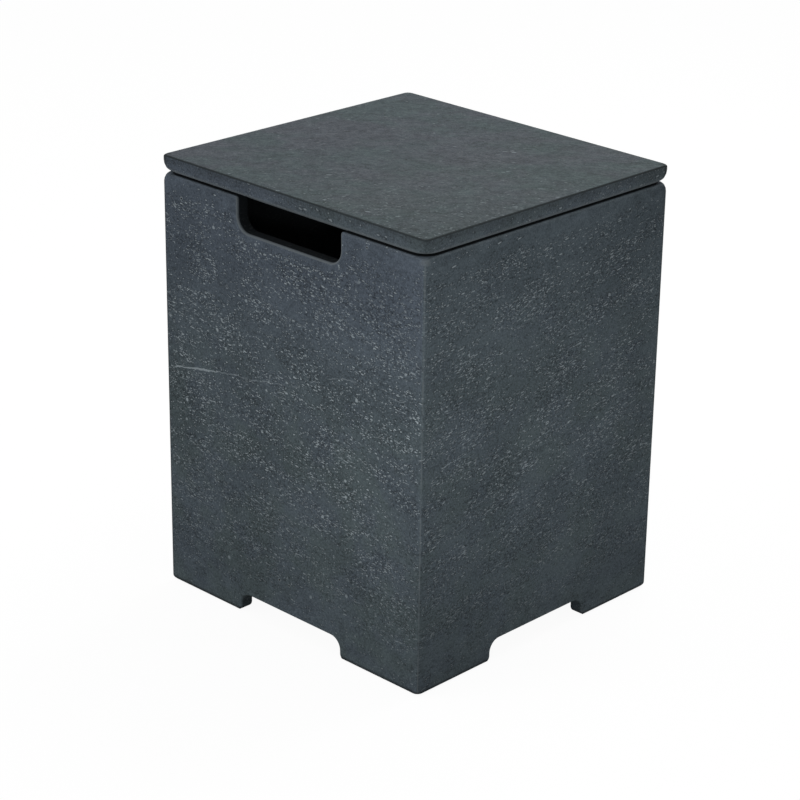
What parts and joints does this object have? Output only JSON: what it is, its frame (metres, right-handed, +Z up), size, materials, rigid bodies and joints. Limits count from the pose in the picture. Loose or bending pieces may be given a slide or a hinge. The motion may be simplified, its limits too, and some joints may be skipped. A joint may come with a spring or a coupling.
{
  "type": "gas cylinder cover table",
  "caption": "Square cast concrete side table, hollow to stand over a gas cylinder, with a hand notch at the rim, low arches between its corner feet and a lift-off lid.",
  "frame": {"origin": "on the floor, under the middle of the plan", "axes": "+Z up; -Y the front, with a hand notch; +X to the right seen from the front"},
  "size_m": [0.4, 0.383, 0.5167],
  "materials": {
    "cast_concrete": "matt slate grey glass-fibre concrete with pale specks and fine pits",
    "rubber": "matt black"
  },
  "bodies": {
    "base": {"shell": "cast_concrete", "bumper_front_left": "rubber", "bumper_front_right": "rubber", "bumper_back_left": "rubber", "bumper_back_right": "rubber", "bumper_left_front": "rubber", "bumper_left_back": "rubber", "bumper_right_front": "rubber", "bumper_right_back": "rubber", "foot_strip_front_left": "rubber", "foot_strip_front_right": "rubber", "foot_strip_back_left": "rubber", "foot_strip_back_right": "rubber", "foot_strip_left_front": "rubber", "foot_strip_left_back": "rubber", "foot_strip_right_front": "rubber", "foot_strip_right_back": "rubber"},
    "lid": {"lid": "cast_concrete"}
  },
  "joints": [
    {"name": "lid_lift", "type": "slide", "parent": "base", "child": "lid", "axis": [0, 0, 1], "range_m": [0, 0.15]}
  ]
}
